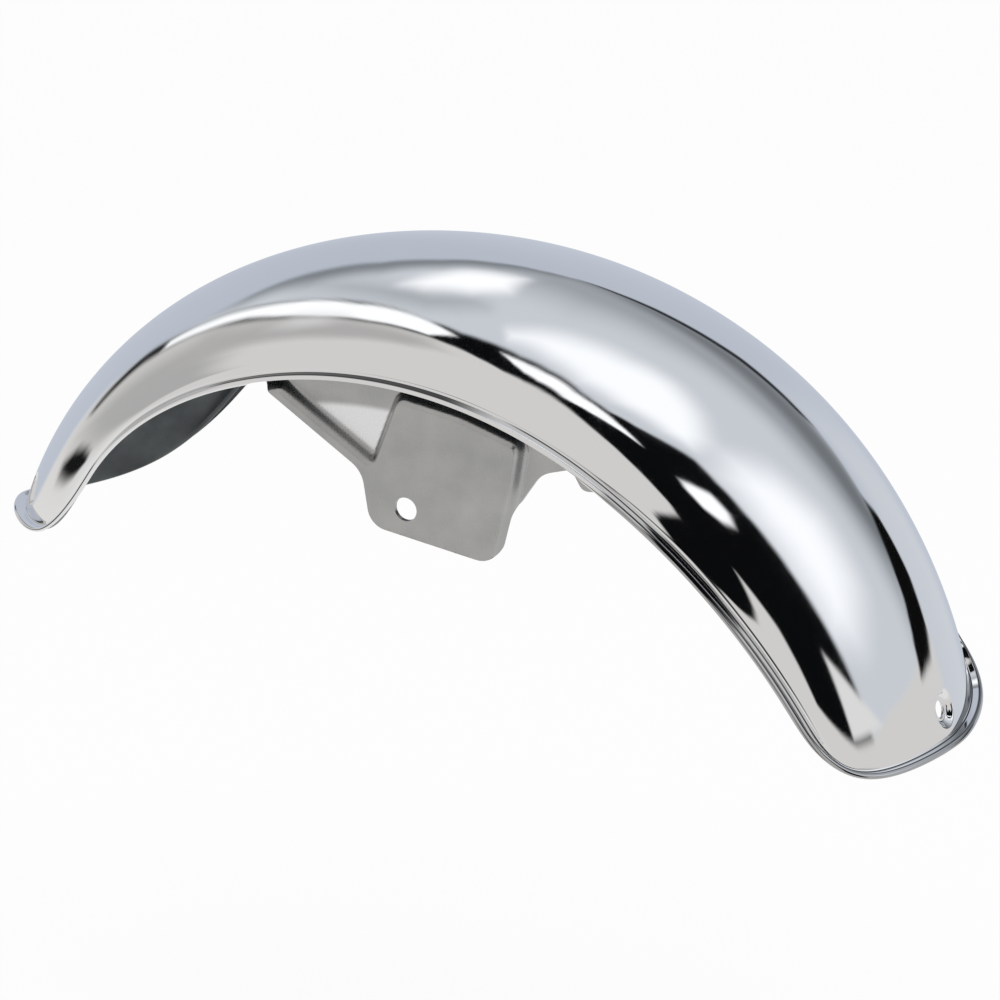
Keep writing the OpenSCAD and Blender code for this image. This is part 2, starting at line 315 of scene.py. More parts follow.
@dataclass
class Dimple:
    """A bolt hole in the floor of a round dimple.

    Cells of the shell's grid within patch_r + cleared of the centre give way to the dimple's patch, and grid points
    nearer than patch_r + kept_clear aren't used.
    """

    name: str
    angle: float
    share: float
    hole_r: float = 3.5
    land: float = 1.3
    top_r: float = 8.3
    depth: float = 2.6
    edge_r: float = 0.25
    patch_r: float = 9.2
    cleared: float = 0.8
    kept_clear: float = 0.4
    turns: int = 96


@dataclass
class ShellPressing:
    """The chromed shell: dome, crease, flange and turned-down lip, with a dimpled hole near each end."""

    dome: Dome
    flange_w: float = 4.6
    crease_r: float = 1.0
    lip_bend_r: float = 1.7
    lip_h: float = 2.4
    lip_relief: float = 0.6
    relief_from: float = -18.5
    relief_to: float = 29.0
    relief_fade: float = 1.2
    edge_round: float = 0.35
    # Shares of colour taken away round the rim: painted shade in the crease, painted dark reflections along the bend,
    # over the lip and over the flange beside the bracket.
    crease_painted_shade: float = 0.94
    bend_painted_reflection: float = 0.93
    lip_painted_reflection: float = 0.45
    bracket_shade: float = 0.95
    along: int = 280
    across: int = 104
    dimples: tuple[Dimple, ...] = (Dimple("rear", 73.1989, 0.0), Dimple("front", -66.5623, -0.3))

    def rim_profile(self) -> Array:
        """Rim section as [height over the outer face, distance past the edge], from the outer face to the inner one.

        A quarter circle makes the crease, another the bend, then the lip runs straight to a rounded edge and the
        same arcs, a sheet thickness away, lead back.
        """
        t, c, b, w = self.dome.sheet_t, self.crease_r, self.lip_bend_r, self.flange_w
        inner_b = b - t
        end = c + self.lip_h
        crease = np.radians(np.linspace(11.25, 90, 8))
        bend = np.radians(np.linspace(0, 90, 8))
        e = self.edge_round
        quarter = np.radians([0, 45, 90])
        outer = [np.stack([c * (1 - np.cos(crease)), c * np.sin(crease)], 1),
                 np.stack([w - b * (1 - np.sin(bend)), c + b * (1 - np.cos(bend))], 1),
                 np.stack([w - e + e * np.cos(quarter), end - e + e * np.sin(quarter)], 1)]
        inner = [np.stack([w - t + e - e * np.sin(quarter), end - e + e * np.cos(quarter)], 1),
                 np.stack([w - b + inner_b * np.sin(bend), c + b - inner_b * np.cos(bend)], 1)[::-1],
                 np.stack([c - (c + t) * np.cos(crease), (c + t) * np.sin(crease)], 1)[::-1]]
        return np.concatenate(outer + inner)

    def edge_loop(self) -> Array:
        """Grid places [i, j] round the dome's edge, front left first."""
        a, b = self.along, self.across
        return np.array([[i, 0] for i in range(a)] + [[a, j] for j in range(b)]
                        + [[i, b] for i in range(a, 0, -1)] + [[0, j] for j in range(b, 0, -1)])

    def rim_points(self, th: Array, k: Array, loop: Array) -> Array:
        """Points of the rim, one ring for each point of its profile.

        The edge's outward direction lies in the skin, square to the edge. A profile point is the edge point lifted
        square to the section by its height and moved outwards by its distance. The lip is cut back a little beside
        the bracket.
        """
        dome = self.dome
        edge_th, edge_k = th[loop[:, 0], loop[:, 1]], k[loop[:, 1]]
        edge = dome.skin(edge_th, edge_k)
        run = np.roll(edge, -1, axis=0) - np.roll(edge, 1, axis=0)
        a = np.radians(edge_th)
        dy, dr = dome.section_run(edge_th, edge_k)
        side = np.stack([dr * np.sin(a), dy, dr * np.cos(a)], -1)
        length = np.stack([np.cos(a), 0 * a, -np.sin(a)], -1)
        out = unit((run * length).sum(-1)[:, None] * -side + (run * side).sum(-1)[:, None] * length)
        profile = self.rim_profile()
        beside = np.isin(loop[:, 1], (0, self.across)) * smooth(
            (edge_th - self.relief_from) / self.relief_fade) * smooth((self.relief_to - edge_th) / self.relief_fade)
        straight = self.lip_h - self.lip_bend_r
        share = np.clip((profile[:, 1] - self.crease_r - self.lip_bend_r) / straight, 0, 1)
        return np.stack([
            dome.skin(edge_th, edge_k, height) + (past - cut * self.lip_relief * beside)[:, None] * out
            for (height, past), cut in zip(profile, share)])

    def rim_tone(self, edge_th: Array) -> Array:
        """Share of its colour that the chrome keeps round the rim, one row for each ring of the rim's profile: painted
        shade and painted dark reflections.

        A painted shade line lies in the crease, a painted dark reflection where the flange bends into the lip, and the
        lip is painted darker. Over the bracket the whole flange gets a painted dark reflection. Each fades in and out
        with a smooth step of the angle.
        """
        tone = np.ones((len(self.rim_profile()), len(edge_th)))
        crease = smooth((edge_th - 15.0) / 5.0)
        bend = smooth((edge_th - self.relief_to - 1.5) / 2.0)
        shade = smooth((edge_th + 26.0) / 5.0) * smooth((17.0 - edge_th) / 9.0)
        # Painted shade in the crease; painted dark reflections along the bend, over the lip and over the flange beside
        # the bracket.
        tone[3:6] *= 1 - self.crease_painted_shade * crease
        tone[9:11] *= 1 - self.bend_painted_reflection * bend
        tone[12:19] *= 1 - self.lip_painted_reflection * bend
        tone[5:11] *= 1 - self.bracket_shade * shade
        return tone

    def on_skin(self, dimple: Dimple, flat: Array) -> tuple[Array, Array]:
        """Angle and share of skin points over given places of a dimple's tangent plane, by Newton steps."""
        dome = self.dome
        th0, k0 = np.array(dimple.angle), np.array(dimple.share)
        centre, e1, e2, _ = self.dimple_frame(dimple)
        step = 1e-3
        d_th = (dome.skin(th0 + step, k0) - dome.skin(th0 - step, k0)) / (2 * step)
        d_k = (dome.skin(th0, k0 + step) - dome.skin(th0, k0 - step)) / (2 * step)
        back = np.linalg.inv(np.array([[d_th @ e1, d_k @ e1], [d_th @ e2, d_k @ e2]]))
        th, k = np.full(flat.shape[:-1], float(th0)), np.full(flat.shape[:-1], float(k0))
        for _ in range(12):
            rel = dome.skin(th, k) - centre
            miss = flat - np.stack([rel @ e1, rel @ e2], -1)
            move = miss @ back.T
            th, k = th + move[..., 0], k + move[..., 1]
        return th, k

    def dimple_frame(self, dimple: Dimple) -> tuple[Array, Array, Array, Array]:
        """Centre of a dimple on the skin, two directions in its tangent plane and the outward one."""
        th0, k0 = np.array(dimple.angle), np.array(dimple.share)
        centre, normal = self.dome.skin(th0, k0), self.dome.normal(th0, k0)
        e1 = self.dome.skin(th0 + 0.01, k0) - centre
        e1 = unit(e1 - (e1 @ normal) * normal)
        return centre, e1, np.cross(normal, e1), normal

    def dimple_rings(self, dimple: Dimple) -> tuple[Array, Array]:
        """Outer and inner rings of a dimple, from the patch's edge in to the hole.

        A ring's radius falls from the patch to the hole. Each point is the skin point over its place, blended into
        a flat floor at the dimple's depth by a smooth step between the land and the top of the dimple. The inner
        ring lies a sheet thickness behind, square to the outer one.
        """
        centre, e1, e2, normal = self.dimple_frame(dimple)
        floor_r = dimple.hole_r + dimple.land
        radii = np.concatenate([np.linspace(dimple.patch_r, dimple.top_r, 4)[:-1],
                                np.linspace(dimple.top_r, floor_r, 16)[:-1],
                                np.linspace(floor_r, dimple.hole_r + dimple.edge_r, 4)])
        turn = np.linspace(0, 2 * np.pi, dimple.turns, endpoint=False)
        flat = radii[:, None, None] * np.stack([np.cos(turn), np.sin(turn)], -1)[None]
        outer = self.dome.skin(*self.on_skin(dimple, flat))
        floor = centre + flat[..., :1] * e1 + flat[..., 1:] * e2 - dimple.depth * normal
        sink = smooth((dimple.top_r - radii) / (dimple.top_r - floor_r))[:, None, None]
        outer = outer * (1 - sink) + floor * sink
        out = unit(np.cross(np.roll(outer, -1, 1) - np.roll(outer, 1, 1), np.gradient(outer, axis=0)))
        out *= np.sign((out @ normal))[..., None]
        inner = outer - self.dome.sheet_t * out
        wall = dimple.hole_r * (np.cos(turn)[:, None] * e1 + np.sin(turn)[:, None] * e2) + centre
        lip = wall - (dimple.depth + dimple.edge_r) * normal
        foot = wall - (dimple.depth + self.dome.sheet_t - dimple.edge_r) * normal
        return np.concatenate([outer, lip[None]]), np.concatenate([inner, foot[None]])

    def patch(self, dimple: Dimple, outer: Array, cells: Array, gone: Array, start: int) -> Array:
        """Triangles of the outer face that join a dimple's first ring to the grid round it.

        Args:
            dimple: the dimple.
            outer: points of the outer grid.
            cells: corner numbers of the grid's cells.
            gone: which cells the patch takes away.
            start: number of the first ring's first point.

        Returns:
            K by 3 array of point numbers.
        """
        centre, e1, e2, _ = self.dimple_frame(dimple)
        nodes = np.unique(cells[gone])
        nodes = nodes[np.linalg.norm(outer[nodes] - centre, axis=1) > dimple.patch_r + dimple.kept_clear]
        ids = np.concatenate([nodes, start + np.arange(dimple.turns)])
        places = np.concatenate([outer[nodes], self.dimple_rings(dimple)[0][0]]) - centre
        flat = np.stack([places @ e1, places @ e2], -1)
        sides = np.sort(cells[gone][:, [0, 1, 1, 2, 2, 3, 3, 0]].reshape(-1, 2), axis=1)
        border, uses = np.unique(sides, axis=0, return_counts=True)
        border = np.searchsorted(nodes, border[uses == 1])
        circle = len(nodes) + np.arange(dimple.turns)
        edges = np.concatenate([border, np.stack([circle, np.roll(circle, -1)], 1)])

        def between(centres: Array) -> Array:
            """Centres outside the first ring and inside the removed cells."""
            inside = crossings_odd(centres, flat[border[:, 0]], flat[border[:, 1]])
            return inside & (np.linalg.norm(centres, axis=1) > dimple.patch_r * 0.999)

        return ids[triangulate(flat, edges, between)]

    def build(self, chrome: bpy.types.Material, dull: bpy.types.Material) -> bpy.types.Object:
        """Builds the closed shell.

        The outer and inner faces are grids in the angle and the share, with the share's steps closer near the rims.
        Round each dimple the grid gives way to triangles that join it to the dimple's rings.

        Args:
            chrome: finish of the outer face and of the rim.
            dull: finish of the inner face.

        Returns:
            The shell's object.
        """
        dome, a, b = self.dome, self.along, self.across
        k = np.sin(np.linspace(-np.pi / 2, np.pi / 2, b + 1))
        k[0], k[-1] = -1.0, 1.0
        front, rear = dome.dome_end(k, End.FRONT), dome.dome_end(k, End.REAR)
        th = front[None] + (rear - front)[None] * np.linspace(0, 1, a + 1)[:, None]
        shares = np.broadcast_to(k[None], th.shape)
        outer = dome.skin(th, shares).reshape(-1, 3)
        points = [outer, dome.skin(th, shares, -dome.sheet_t).reshape(-1, 3)]
        sheet, count = len(outer), 2 * len(outer)
        number = np.arange(sheet).reshape(a + 1, b + 1)
        cells = grid_cells(number)
        faces, slots = [], []

        def put(quads: list, slot: int) -> None:
            """Adds faces with the number of their material."""
            faces.extend(quads)
            slots.extend([slot] * len(quads))

        kept = np.ones(len(cells), bool)
        for dimple in self.dimples:
            away = np.linalg.norm(outer - self.dimple_frame(dimple)[0], axis=1)
            gone = (away[cells] < dimple.patch_r + dimple.cleared).any(axis=1)
            kept &= ~gone
            rings_out, rings_in = self.dimple_rings(dimple)
            step = rings_out.shape[0] * dimple.turns
            points += [rings_out.reshape(-1, 3), rings_in.reshape(-1, 3)]
            fill = self.patch(dimple, outer, cells, gone, count)
            put(fill.tolist(), 0)
            put(np.where(fill < sheet, fill + sheet, fill + step).tolist(), 1)
            rings = count + np.arange(step).reshape(-1, dimple.turns)
            for lower, upper in zip(rings[:-1], rings[1:]):
                put(ring_quads(lower, upper), 0)
                put(ring_quads(lower + step, upper + step), 1)
            put(ring_quads(rings[-1], rings[-1] + step), 0)
            count += 2 * step
        put(cells[kept].tolist(), 0)
        put((cells[kept] + sheet).tolist(), 1)
        loop = self.edge_loop()
        rim = self.rim_points(th, k, loop)
        points.append(rim.reshape(-1, 3))
        # Painted shade and painted dark reflections round the rim; the dome and the dimples keep all of their colour.
        tone = np.concatenate([np.ones(count), self.rim_tone(th[loop[:, 0], loop[:, 1]]).ravel()])
        edge = number[loop[:, 0], loop[:, 1]]
        chain = [edge] + [count + n * len(loop) + np.arange(len(loop)) for n in range(len(rim))] + [edge + sheet]
        outside = len(rim) // 2 + 2
        for n, (lower, upper) in enumerate(zip(chain[:-1], chain[1:])):
            put(ring_quads(lower, upper), 0 if n < outside else 1)
        return make_object("shell_pressing", np.concatenate(points), faces, [chrome, dull], np.array(slots),
                           tone=tone)


@dataclass
class ForkBracket:
    """The pressed bracket: a band over the crown, a skirt along each rim and an ear with its pad and raised borders."""

    dome: Dome
    sheet_t: float = 2.0
    seat_gap: float = 0.2
    pad_step: float = 5.4
    pad_draft: float = 2.6
    press_round: float = 0.3
    hole_d: float = 10.0
    hole_at: tuple[float, float] = (13.0, 141.0)
    skirt_drop: float = 3.4
    skirt_share: float = 0.6549
    skirt_span: tuple[float, float] = (-17.0, 27.5)
    band_span: tuple[float, float] = (1.0, 19.0)
    pad_top_r: float = 187.2
    # Radius below which the front pocket's floor gets a painted highlight.
    highlight_r: float = 181.0
    grain: float = 0.85
    net_clearance: float = 0.55
    slope_step: float = 0.15
    skirt_inset: float = 0.04

    @property
    def base_face(self) -> float:
        """Distance of the ear's base sheet from the middle plane."""
        return self.dome.half_w_mid - self.dome.sheet_t - self.seat_gap

    @property
    def rim_r(self) -> float:
        """Radius of the shell's rim over the bracket."""
        return self.dome.crown_r - self.dome.depth_mid

    def by_hole(self, x: float, z: float, r: float) -> tuple[float, float, float]:
        """Corner of an outline beside the bolt hole, with its rounding."""
        return (self.hole_at[0] + x, self.hole_at[1] + z, r)

    def by_axle(self, th: float, at_r: float, r: float) -> tuple[float, float, float]:
        """Corner of an outline at an angle of a circle round the axle, with its rounding."""
        return (at_r * math.sin(math.radians(th)), at_r * math.cos(math.radians(th)), r)

    def ear_corners(self) -> list[tuple[float, float, float]]:
        """Corners of the ear, clockwise from above the rim at the front."""
        return [self.by_hole(*c) for c in (
            (-88, 60, 1), (98, 60, 1), (94, 22.5, 3), (76, 20.2, 4), (71, 28.5, 1.5), (57.5, 24, 14), (46, 6, 22),
            (40.8, -16.7, 10), (-16, -9.8, 9), (-20, 12.8, 12), (-79, 48, 1))]

    def pressed_corners(self) -> list[tuple[float, float, float]]:
        """Corners of the pressed pad and borders at their top, clockwise from the front border."""
        lower, upper = np.array(self.ear_corners()[9][:2]), np.array(self.ear_corners()[10][:2])
        web = unit(upper - lower)
        pocket = self.by_hole(-15.2, 15.2, 3.5)
        p = np.array(pocket[:2])
        run = -p @ web + math.sqrt((p @ web) ** 2 - p @ p + self.pad_top_r ** 2)
        top = p + run * web
        return [self.by_axle(-22, self.pad_top_r, 3), (top[0], top[1], 3), pocket,
                self.by_axle(2.7, self.pad_top_r, 4), self.by_axle(11, self.pad_top_r, 60),
                self.by_axle(19.4, self.pad_top_r, 4), self.by_hole(46.4, 17, 60), self.by_hole(33.8, -40, 3),
                self.by_hole(-40, -40, 3)]

    @staticmethod
    def rounded(corners: list[tuple[float, float, float]], steps: int = 12) -> Array:
        """Outline with each corner replaced by an arc that touches both of its sides."""
        outline = []
        turn = np.linspace(0, 1, steps)
        for n, (x, z, r) in enumerate(corners):
            b = np.array([x, z])
            u = unit(np.array(corners[n - 1][:2]) - b)
            v = unit(np.array(corners[(n + 1) % len(corners)][:2]) - b)
            half = math.acos(float(np.clip(u @ v, -1, 1))) / 2
            mid = b + unit(u + v) * r / math.sin(half)
            start = b + u * r / math.tan(half) - mid
            side = math.copysign(1.0, u[0] * v[1] - u[1] * v[0])
            g = -side * (math.pi - 2 * half) * turn
            outline.append(mid + np.stack([start[0] * np.cos(g) - start[1] * np.sin(g),
                                           start[0] * np.sin(g) + start[1] * np.cos(g)], -1))
        return np.concatenate(outline)

    def ear_outline(self) -> Array:
        """Ear outline cut off along the circle under the rim."""
        outline, top_r = self.rounded(self.ear_corners()), self.rim_r - self.seat_gap
        inside = np.hypot(outline[:, 0], outline[:, 1]) < top_r
        first = int(np.argmax(inside & ~np.roll(inside, 1)))
        outline, inside = np.roll(outline, -first, axis=0), np.roll(inside, -first)
        last = int(np.argmin(inside))
        kept = outline[:last]

        def crossing(p: Array, q: Array) -> Array:
            """Point of a side at the circle, by a linear step in the radius."""
            rp, rq = np.hypot(*p), np.hypot(*q)
            return p + (q - p) * (top_r - rp) / (rq - rp)

        start, stop = crossing(kept[0], outline[-1]), crossing(kept[-1], outline[last])
        arc = np.linspace(math.atan2(stop[0], stop[1]), math.atan2(start[0], start[1]), 90)
        return np.concatenate([kept, np.stack([top_r * np.sin(arc), top_r * np.cos(arc)], -1)])

    @staticmethod
    def even(outline: Array, step: float) -> Array:
        """Closed outline with its points spread at about one step, by linear interpolation along its length."""
        closed = np.vstack([outline, outline[:1]])
        length = np.concatenate([[0], np.cumsum(np.linalg.norm(np.diff(closed, axis=0), axis=1))])
        at = np.linspace(0, length[-1], int(length[-1] / step), endpoint=False)
        return np.stack([np.interp(at, length, closed[:, 0]), np.interp(at, length, closed[:, 1])], -1)

    def height(self, places: Array, pressed: Array) -> Array:
        """Distance of the ear's outer face from the middle plane.

        It is the base face plus the pad's step times a smooth step of the way across the sloping side, which the
        press rounds at its top and foot.
        """
        way = (polygon_distance(places, pressed) + self.pad_draft) / self.pad_draft
        e = self.press_round
        return self.base_face + self.pad_step * smooth((way + e) / (1 + 2 * e))

    def ear(self, side: int) -> tuple[Array, list]:
        """Points and faces of one ear: a fine net of triangles over its outline, raised to the pressed height.

        Args:
            side: -1 for the ear at -Y and 1 for the one at +Y.

        Returns:
            N by 3 points in millimetres, and faces.
        """
        border = self.even(self.ear_outline(), self.grain)
        turn = np.linspace(0, 2 * np.pi, 64, endpoint=False)
        hole = np.array(self.hole_at) + self.hole_d / 2 * np.stack([np.cos(turn), np.sin(turn)], -1)
        low, high = border.min(0), border.max(0)
        xs, zs = np.arange(low[0], high[0], self.grain), np.arange(low[1], high[1], self.grain * 0.866)
        net = np.stack(np.meshgrid(xs, zs), -1)
        net[1::2, :, 0] += self.grain / 2
        net = net.reshape(-1, 2)
        gap = self.grain * self.net_clearance
        clear = (polygon_distance(net, border) > gap) & (
            np.linalg.norm(net - self.hole_at, axis=1) > self.hole_d / 2 + gap)
        flat = np.concatenate([border, hole, net[clear]])
        b, h = np.arange(len(border)), len(border) + np.arange(len(hole))
        edges = np.concatenate([np.stack([b, np.roll(b, -1)], 1), np.stack([h, np.roll(h, -1)], 1)])

        def in_sheet(centres: Array) -> Array:
            """Centres inside the outline and outside the hole."""
            return (polygon_distance(centres, border) > 0) & (
                np.linalg.norm(centres - self.hole_at, axis=1) > self.hole_d / 2 * 0.998)

        triangles = triangulate(flat, edges, in_sheet)
        pressed = self.rounded(self.pressed_corners())
        y = self.height(flat, pressed)
        d = self.slope_step
        slope_x = (self.height(flat + [d, 0], pressed) - self.height(flat - [d, 0], pressed)) / (2 * d)
        slope_z = (self.height(flat + [0, d], pressed) - self.height(flat - [0, d], pressed)) / (2 * d)
        out = unit(np.stack([-slope_x, np.ones(len(flat)), -slope_z], -1))
        face = np.stack([flat[:, 0], y, flat[:, 1]], -1)
        points = np.concatenate([face, face - self.sheet_t * out]) * [1, side, 1]
        back = triangles + len(flat)
        faces = triangles.tolist() + back.tolist() + ring_quads(b, b + len(flat)) + ring_quads(h, h + len(flat))
        return points, faces

    def strip(self, span: tuple[float, float], shares: Array, drop: float, side: int) -> tuple[Array, list]:
        """A strip of sheet under the shell: the section between two shares, turned round the axle over a span.

        Args:
            span: first and last angle.
            shares: shares of the section, crown side first.
            drop: length of straight skirt past the last share.
            side: -1 or 1 turns the shares towards that rim.

        Returns:
            N by 3 points in millimetres, and faces.
        """
        dome = self.dome
        th = np.linspace(*span, max(8, int((span[1] - span[0]) / 0.6)))[:, None]
        k = side * shares[None]
        inset = self.skirt_inset if drop else 0.0
        gap = dome.sheet_t + self.seat_gap + inset
        rows = []
        for lift in (-gap, -gap - self.sheet_t + 2 * inset):
            row = dome.skin(th + 0 * k, k + 0 * th, lift)
            if drop:
                y = side * (dome.half_w_mid + lift)
                ways = np.linspace(0.35, 1, 3)[None] * drop
                row = np.concatenate([row, dome.place(th + 0 * ways, y + 0 * th + 0 * ways,
                                                      dome.crown_r - dome.depth_mid - ways + 0 * th)], axis=1)
            rows.append(row)
        n, m = rows[0].shape[:2]
        number = np.arange(n * m).reshape(n, m)
        cells = grid_cells(number)
        border = np.concatenate([number[:-1, 0], number[-1, :-1], number[:0:-1, -1], number[0, :0:-1]])
        faces = cells.tolist() + (cells + n * m).tolist() + ring_quads(border, border + n * m)
        return np.concatenate([rows[0].reshape(-1, 3), rows[1].reshape(-1, 3)]), faces

    def tone(self, net: Array) -> Array:
        """Share of the plain finish at each point, below 1 where a painted highlight makes the metal brighter.

        The front pocket's floor gets the painted highlight below a circle round the axle. The share falls with a
        smooth step of the distance inside the pocket and of the radius.
        """
        places = net[:, [0, 2]]
        corners = np.array(self.pressed_corners())[:, :2]
        inside = smooth((polygon_distance(places, corners[1:4]) - self.pad_draft - 0.4) / 0.8)
        low = smooth((self.highlight_r - np.hypot(places[:, 0], places[:, 1])) / 3.0)
        return 1 - inside * low * (net[:, 1] < 0)

    def build(self, steel: bpy.types.Material) -> bpy.types.Object:
        """Builds the bracket as one object of ears, skirts and band.

        Args:
            steel: its finish.

        Returns:
            The bracket's object.
        """
        shares = np.sin(np.linspace(math.asin(self.skirt_share), math.pi / 2, 26))
        pieces = [self.strip(self.band_span, np.sin(np.linspace(-0.75, 0.75, 81)), 0.0, 1)]
        for side in (-1, 1):
            pieces.append(self.strip(self.skirt_span, shares, self.skirt_drop, side))
            pieces.append(self.ear(side))
        points, faces, count = [], [], 0
        for piece_points, piece_faces in pieces:
            points.append(piece_points)
            faces += [[i + count for i in f] for f in piece_faces]
            count += len(piece_points)
        net = np.concatenate(points)
        obj = make_object("fork_bracket_pressing", net, faces, [steel], sharp_deg=50, tone=self.tone(net))
        bevel = obj.modifiers.new("sheared_edges", "BEVEL")
        bevel.width = 0.3 * MM
        bevel.segments = 2
        bevel.limit_method = "ANGLE"
        bevel.angle_limit = math.radians(60)
        bevel.harden_normals = False
        return obj


# Finishes


def noise(tree: bpy.types.NodeTree, size_mm: float, detail: float, source: tuple,
          **more: float) -> bpy.types.Node:
    """Noise texture whose pattern has a size in millimetres, on coordinates from a source."""
    return add(tree, "ShaderNodeTexNoise", {"Scale": 1 / (size_mm * MM), "Detail": detail, **more},
               {"Vector": source})


def clouds(tree: bpy.types.NodeTree, source: tuple, dark: tuple[float, str],
           light: tuple[float, str]) -> bpy.types.Node:
    """Ramp between a dark and a light colour, each with its place on the ramp."""
    ramp = add(tree, "ShaderNodeValToRGB", None, {"Fac": source})
    for stop, (position, colour) in zip(ramp.color_ramp.elements, (dark, light)):
        stop.position, stop.color = position, linear(colour)
    return ramp


def metal(tree: bpy.types.NodeTree, colour: tuple, rough: tuple, height: tuple, strength: float,
          depth_mm: float) -> None:
    """Metal surface of a material.

    Args:
        tree: node tree of the material.
        colour: node and output that give its colour.
        rough: node and output that give its roughness.
        height: node and output that give the height of its bumps.
        strength: strength of the bumps.
        depth_mm: depth of the bumps.
    """
    bump = add(tree, "ShaderNodeBump", {"Strength": strength, "Distance": depth_mm * MM}, {"Height": height})
    shader = add(tree, "ShaderNodeBsdfPrincipled", {"Metallic": 1.0},
                 {"Base Color": colour, "Roughness": rough, "Normal": (bump, "Normal")})
    add(tree, "ShaderNodeOutputMaterial", None, {"Surface": (shader, "BSDF")})


@dataclass(frozen=True)
class ChromePlate:
    """Decorative chrome plating over polished steel: a hard, faintly blue mirror."""

    name: str = "chrome_plated_polished_steel"
    colour: str = "#E8E9EB"
    # Colour of the rim's painted shade and painted dark reflections.
    shade: str = "#1C1D1E"
    roughness: float = 0.03
    haze: float = 0.03
    wave_mm: float = 26.0
    haze_mm: float = 9.0

    def material(self) -> bpy.types.Material:
        """Mirror metal. Slow waves of the polished sheet bend reflections a little, and thin haze varies the gloss.

        The tone of the mesh mixes in painted shade in the crease and painted dark reflections along the bend and the
        lip.
        """
        mat, tree = blank_material(self.name)
        at = (add(tree, "ShaderNodeTexCoord"), "Object")
        haze = noise(tree, self.haze_mm, 4.0, at, Roughness=0.6)
        rough = add(tree, "ShaderNodeMapRange", {"From Min": 0.35, "From Max": 0.75, "To Min": self.roughness,
                                                 "To Max": self.roughness + self.haze}, {"Value": (haze, "Fac")})
        wave = noise(tree, self.wave_mm, 1.0, at)
        # Painted shade and painted dark reflections of the rim, carried by the mesh's tone.
        tone = add(tree, "ShaderNodeAttribute", {"attribute_name": "tone"})
        dimmed = add(tree, "ShaderNodeMixRGB", {"Color1": linear(self.shade), "Color2": linear(self.colour)},
                     {"Fac": (tone, "Fac")})
        metal(tree, (dimmed, "Color"), (rough, "Result"), (wave, "Fac"), 0.12, 0.4)
        return mat


@dataclass(frozen=True)
class DullPlate:
    """Unpolished plating inside the shell: drawn steel with thin, grey chrome and draw marks."""

    name: str = "dull_plating_on_drawn_steel"
    dark: str = "#44474A"
    light: str = "#5C6062"
    roughness: float = 0.34
    stain_mm: float = 22.0
    grain_mm: float = 1.1

    def material(self) -> bpy.types.Material:
        """Grey satin metal with cloudy stains and a fine grain, so that the inside stays quiet."""
        mat, tree = blank_material(self.name)
        at = (add(tree, "ShaderNodeTexCoord"), "Object")
        stain = noise(tree, self.stain_mm, 5.0, at)
        ramp = clouds(tree, (stain, "Fac"), (0.35, self.dark), (0.7, self.light))
        grain = noise(tree, self.grain_mm, 3.0, at)
        rough = add(tree, "ShaderNodeMapRange", {"To Min": self.roughness - 0.06, "To Max": self.roughness + 0.08},
                    {"Value": (grain, "Fac")})
        metal(tree, (ramp, "Color"), (rough, "Result"), (grain, "Fac"), 0.15, 0.05)
        return mat


@dataclass(frozen=True)
class SatinSteel:
    """Pressed sheet steel with satin plating: cloudy, with a fine rolled grain."""

    name: str = "satin_plated_pressed_steel"
    dark: str = "#A7A8A9"
    light: str = "#B8B8B7"
    # Colour of the painted highlight on the front pocket's floor.
    painted_highlight: str = "#EEF0F2"
    roughness: float = 0.27
    cloud_mm: float = 18.0
    grain_mm: float = 0.7

    def material(self) -> bpy.types.Material:
        """Satin metal whose clouds and grain break up its broad highlights, with a painted highlight on the front
        pocket's floor.
        """
        mat, tree = blank_material(self.name)
        at = (add(tree, "ShaderNodeTexCoord"), "Object")
        cloud = noise(tree, self.cloud_mm, 5.0, at)
        ramp = clouds(tree, (cloud, "Fac"), (0.3, self.dark), (0.75, self.light))
        rolled = add(tree, "ShaderNodeMapping", {"Scale": (1.0, 1.0, 0.22)}, {"Vector": at})
        grain = noise(tree, self.grain_mm, 3.0, (rolled, "Vector"))
        rough = add(tree, "ShaderNodeMapRange", {"To Min": self.roughness - 0.05, "To Max": self.roughness + 0.09},
                    {"Value": (grain, "Fac")})
        tone = add(tree, "ShaderNodeAttribute", {"attribute_name": "tone"})
        # Painted highlight on the front pocket's floor, where the tone is below 1.
        highlight_mix = add(tree, "ShaderNodeMixRGB", {"Color1": linear(self.painted_highlight)},
                      {"Fac": (tone, "Fac"), "Color2": (ramp, "Color")})
        metal(tree, (highlight_mix, "Color"), (rough, "Result"), (grain, "Fac"), 0.12, 0.04)
        return mat


# Studio


@dataclass(frozen=True)
class Panel:
    """A soft-edged panel or flag of the studio, as an outline in degrees.

    Each corner is (azimuth, elevation): azimuth 0 looks to -Y and 90 to +X. A panel within another one shows only
    where that one does.
    """

    name: str
    colour: str
    soft: float
    outline: tuple[tuple[float, float], ...]
    within: str = ""


